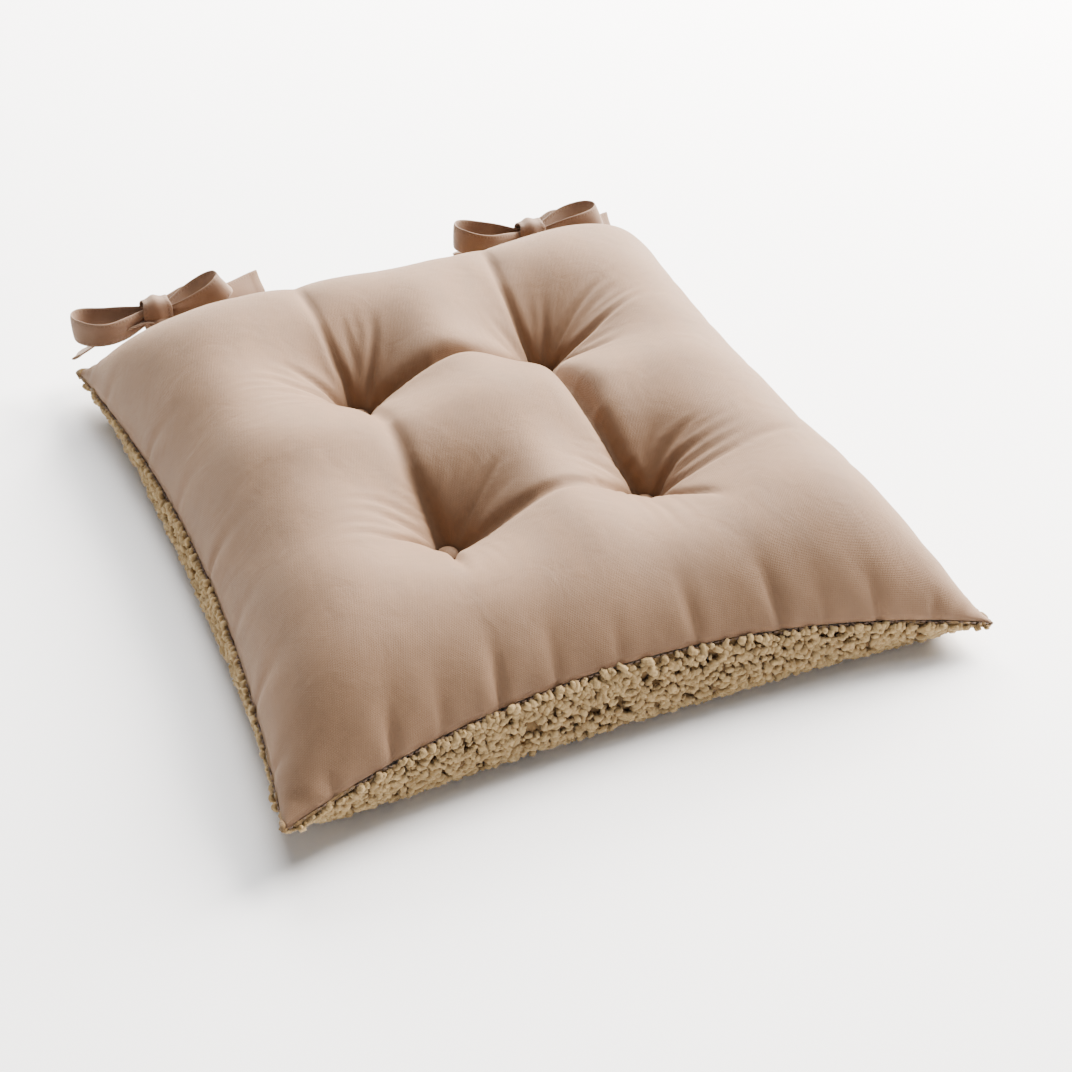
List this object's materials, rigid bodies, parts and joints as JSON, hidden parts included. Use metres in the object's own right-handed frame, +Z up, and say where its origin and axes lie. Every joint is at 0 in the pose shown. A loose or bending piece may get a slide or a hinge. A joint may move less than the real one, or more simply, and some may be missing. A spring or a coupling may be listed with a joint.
{
  "type": "chair seat pad",
  "caption": "Square tufted chair seat pad with a smooth cloth top, a curly pile underside, sunk covered buttons and rear ties in bows.",
  "frame": {"origin": "centre of the flat patch of the underside, where the pad rests", "axes": "+Z up through the pad's thickness, +Y towards the rear edge with the ties, +X to the right seen from the front"},
  "size_m": [0.4125, 0.4784, 0.0884],
  "materials": {
    "top_cloth": "smooth brushed weave",
    "sherpa": "curly pile",
    "tie_tape": "folded and edge stitched",
    "filling": "loose polyester fibre",
    "sewing_thread": "twisted polyester thread",
    "twine": "waxed upholstery twine",
    "button_metal": "plain pressed",
    "anchor_plastic": "plain moulded"
  },
  "bodies": {
    "pad": {"closing_stitches": "sewing_thread", "edge_seam_thread": "sewing_thread", "fibre_fill": "filling", "front_left_anchor_button": "anchor_plastic", "front_left_button_back": "button_metal", "front_left_button_cover": "top_cloth", "front_left_button_shell": "button_metal", "front_left_tuft_twine": "twine", "front_right_anchor_button": "anchor_plastic", "front_right_button_back": "button_metal", "front_right_button_cover": "top_cloth", "front_right_button_shell": "button_metal", "front_right_tuft_twine": "twine", "left_tie_sewn_end_lower": "tie_tape", "left_tie_sewn_end_upper": "tie_tape", "rear_left_anchor_button": "anchor_plastic", "rear_left_button_back": "button_metal", "rear_left_button_cover": "top_cloth", "rear_left_button_shell": "button_metal", "rear_left_tuft_twine": "twine", "rear_right_anchor_button": "anchor_plastic", "rear_right_button_back": "button_metal", "rear_right_button_cover": "top_cloth", "rear_right_button_shell": "button_metal", "rear_right_tuft_twine": "twine", "right_tie_sewn_end_lower": "tie_tape", "right_tie_sewn_end_upper": "tie_tape", "sherpa_under_panel": "sherpa", "top_panel": "top_cloth"},
    "left_tie": {"left_tie_strap_upper": "tie_tape", "left_tie_strap_lower": "tie_tape", "left_tie_knot": "tie_tape", "left_tie_left_loop": "tie_tape", "left_tie_right_loop": "tie_tape"},
    "left_tie_left_tail": {"left_tie_left_tail": "tie_tape"},
    "left_tie_right_tail": {"left_tie_right_tail": "tie_tape"},
    "right_tie": {"right_tie_strap_upper": "tie_tape", "right_tie_strap_lower": "tie_tape", "right_tie_knot": "tie_tape", "right_tie_left_loop": "tie_tape", "right_tie_right_loop": "tie_tape"},
    "right_tie_left_tail": {"right_tie_left_tail": "tie_tape"},
    "right_tie_right_tail": {"right_tie_right_tail": "tie_tape"}
  },
  "joints": [
    {"name": "left_tie_swing", "type": "hinge", "parent": "pad", "child": "left_tie", "pos_m": [-0.142, 0.20809, 0.03178], "axis": [1, 0, 0], "range_deg": [-30, 45]},
    {"name": "left_tie_left_tail_swing", "type": "hinge", "parent": "left_tie", "child": "left_tie_left_tail", "pos_m": [-0.142, 0.23009, 0.03208], "axis": [0, 0, -1], "range_deg": [-3, 40]},
    {"name": "left_tie_right_tail_swing", "type": "hinge", "parent": "left_tie", "child": "left_tie_right_tail", "pos_m": [-0.1317, 0.23569, 0.04378], "axis": [0, 0, 1], "range_deg": [-3, 40]},
    {"name": "right_tie_swing", "type": "hinge", "parent": "pad", "child": "right_tie", "pos_m": [0.121, 0.20505, 0.03426], "axis": [1, 0, 0], "range_deg": [-30, 45]},
    {"name": "right_tie_left_tail_swing", "type": "hinge", "parent": "right_tie", "child": "right_tie_left_tail", "pos_m": [0.121, 0.22705, 0.03456], "axis": [0, 0, -1], "range_deg": [-3, 40]},
    {"name": "right_tie_right_tail_swing", "type": "hinge", "parent": "right_tie", "child": "right_tie_right_tail", "pos_m": [0.1313, 0.23265, 0.04626], "axis": [0, 0, 1], "range_deg": [-3, 40]}
  ]
}
